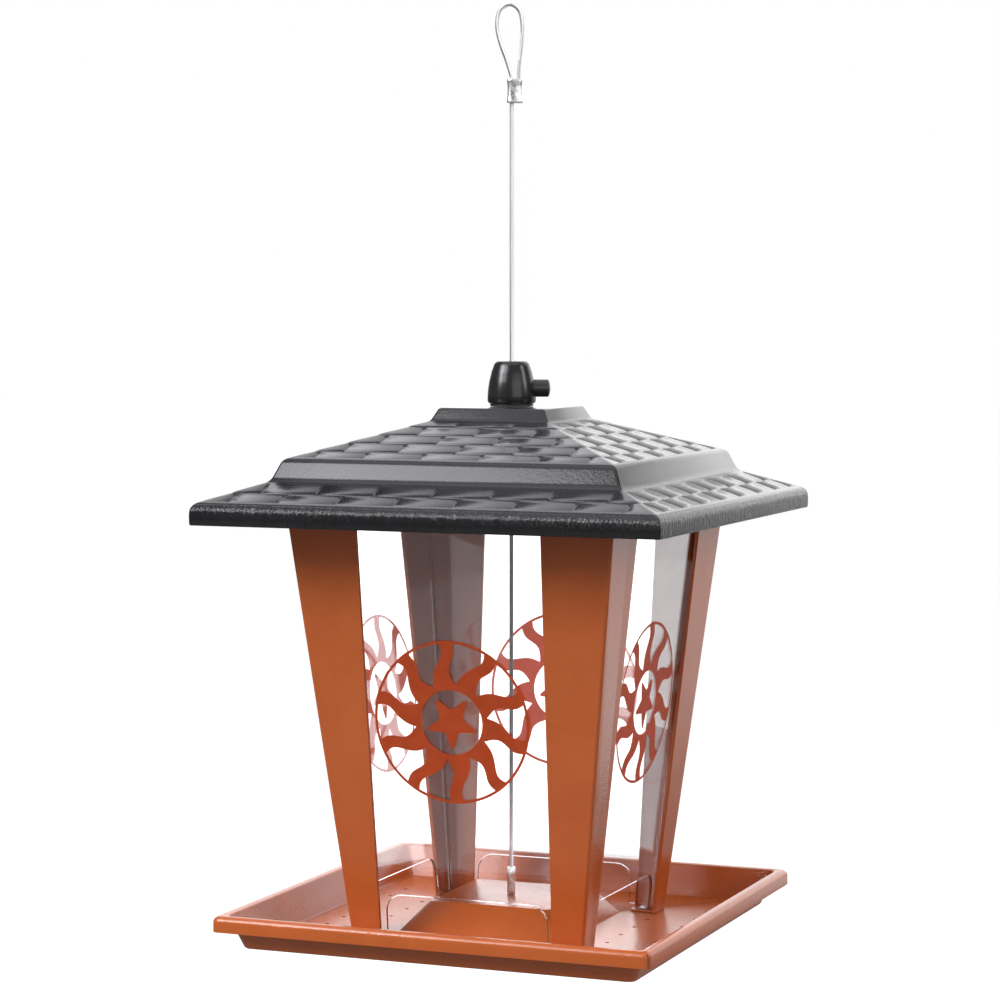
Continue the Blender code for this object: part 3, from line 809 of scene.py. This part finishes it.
# Cable lock: a moulded black cap that slides up the rope with the roof's weight off it, the
# nylon washer it stands on, and inside it a spring behind the push button that grips the rope.
CAP_BOTTOM, CAP_TOP, CAP_BORE = 0.2653, 0.2863, 0.0022
BUTTON_Z = 0.2728
BUTTON_BORE, BORE_BACK, BORE_FRONT = 0.0047, -0.0088, 0.0200

black, tree, surface = plain("moulded black plastic", Metallic=0.0)
mottled(tree, surface, 90, 1800, ((0.010, 0.010, 0.011), (0.015, 0.015, 0.016)), (0.24, 0.34))
add_peel(tree, surface, 1500, 0.08, 0.0002)

cap = turned("cable_lock_cap", [
    (CAP_BORE, CAP_TOP - 0.0004), (CAP_BORE + 0.0004, CAP_TOP), (0.0072, CAP_TOP),
    (0.0077, CAP_TOP - 0.0002), (0.0081, CAP_TOP - 0.0006), (0.0088, CAP_TOP - 0.0012),
    (0.0092, CAP_TOP - 0.0023), (0.0096, 0.2828), (0.0101, 0.2815), (0.0105, 0.2800),
    (0.0109, 0.2782), (0.0113, 0.2767), (0.0116, 0.2751), (0.0118, 0.2736), (0.0120, 0.2720),
    (0.0122, 0.2690), (0.0122, 0.2664), (0.0120, 0.2660), (0.0118, 0.2659), (0.0118, 0.2655),
    (0.0116, CAP_BOTTOM), (CAP_BORE, CAP_BOTTOM), (CAP_BORE, CAP_TOP - 0.0004)], 72)
sideways = Matrix.Rotation(FACING, 4, "Z") @ Matrix.Translation((0, 0, BUTTON_Z)) \
    @ Matrix.Rotation(math.radians(90), 4, "Y")
bore = drill(BUTTON_BORE, (0, 0, 0), BORE_FRONT - BORE_BACK, 40)
bore.matrix_world = sideways @ Matrix.Translation((0, 0, (BORE_BACK + BORE_FRONT) / 2))
drilled(cap, [bore])
finished(cap, "cap_housing", "black_plastic", black, "lock_cap", smooth=35)

button = turned("push_button", [
    (0, 0.0194), (0.0018, 0.01932), (0.0030, 0.0190), (0.0038, 0.0187), (0.0042, 0.0184),
    (0.0044, 0.0180), (0.0044, -0.0043), (0.0042, -0.0045), (0.0030, -0.0045), (0.0030, -0.0021),
    (0, -0.0021)], 48)
drilled(button, [block((0, 0, 0.0015), (0.02, 0.0031, 0.0057))])
button.matrix_world = sideways
grey, tree, surface = plain("moulded grey plastic", Metallic=0.0)
mottled(tree, surface, 120, 1900, ((0.022, 0.022, 0.023), (0.030, 0.030, 0.031)), (0.34, 0.46))
finished(button, "push_button", "black_plastic", grey, "lock_button", smooth=35)

nylon, tree, surface = plain("dark nylon", Metallic=0.0)
mottled(tree, surface, 200, 2000, ((0.016, 0.016, 0.016), (0.026, 0.026, 0.026)), (0.48, 0.62))
nodes["cap_seat"].material_slots[0].material = nylon

spring_wire, tree, surface = plain("spring steel", Metallic=1.0, Base_Color=(0.55, 0.55, 0.56))
marks = add_mottle(tree, 500, 2500)
ramp(tree, marks.outputs["Patches"], surface.inputs["Roughness"], 0.22, 0.36)
nodes["lock_spring"].material_slots[0].material = spring_wire


# Setting: a plain pale floor well below the hanging feeder, with soft studio light from the
# front left, a wide bright field behind, and a gentle fill.
bpy.ops.object.select_all(action="DESELECT")
bpy.ops.mesh.primitive_plane_add(size=24, location=(0, 9, -0.45))
floor = bpy.context.object
floor.name = "floor"
pale, tree, surface = plain("pale floor", Metallic=0.0, Base_Color=(0.22, 0.22, 0.22),
                            Roughness=0.9, Emission_Color=(1, 1, 1))
ramp(tree, either_ray(tree, "Is Camera Ray", "Is Transmission Ray"),
     surface.inputs["Emission Strength"], 0.0, 0.95)
floor.data.materials.append(pale)


def softbox(name, azimuth, elevation, distance, wide, high, radiance, tint=(1, 1, 1)):
    """A rectangular light facing the feeder. Azimuth 0 is in front of it, 90 on its right."""
    light = bpy.data.lights.new(name, "AREA")
    light.shape = "RECTANGLE"
    light.size, light.size_y = wide, high
    light.energy = radiance * math.pi * wide * high
    light.color = tint
    item = bpy.data.objects.new(name, light)
    bpy.context.scene.collection.objects.link(item)
    a, e = math.radians(azimuth), math.radians(elevation)
    away = Vector((math.sin(a) * math.cos(e), -math.cos(a) * math.cos(e), math.sin(e)))
    item.location = away * distance + Vector((0, 0, 0.2))
    item.rotation_euler = away.to_track_quat("Z", "Y").to_euler()
    item.visible_camera = False
    return item


softbox("key_front_left", -33, 38, 2.2, 1.6, 1.1, 7.2, (0.95, 0.95, 1.0))
softbox("glint_front_left", -40, 28, 2.2, 0.5, 0.9, 10.8)
softbox("front_right_fill", 48, 14, 2.4, 2.0, 1.2, 1.6)
softbox("right_strip", 93, 25, 2.2, 0.45, 1.2, 6.0)
softbox("field_low_behind", 180, -9, 2.6, 4.8, 1.0, 0.9, (1.0, 0.98, 0.99))
softbox("field_behind", 180, 12, 2.6, 4.8, 1.0, 1.85, (1.0, 0.98, 0.99))
softbox("field_high_behind", 180, 40, 2.6, 4.0, 1.5, 1.5, (0.97, 0.97, 1.0))
softbox("overhead", 0, 84, 2.2, 3.0, 2.2, 1.1, (0.97, 0.97, 1.0))
world = bpy.data.worlds.new("studio")
bpy.context.scene.world = world
world.use_nodes = True
air = world.node_tree
background = air.nodes["Background"]
background.inputs["Color"].default_value = (1, 1, 1, 1)
ramp(air, either_ray(air, "Is Camera Ray", "Is Transmission Ray"),
     background.inputs["Strength"], 0.18, 1.0)
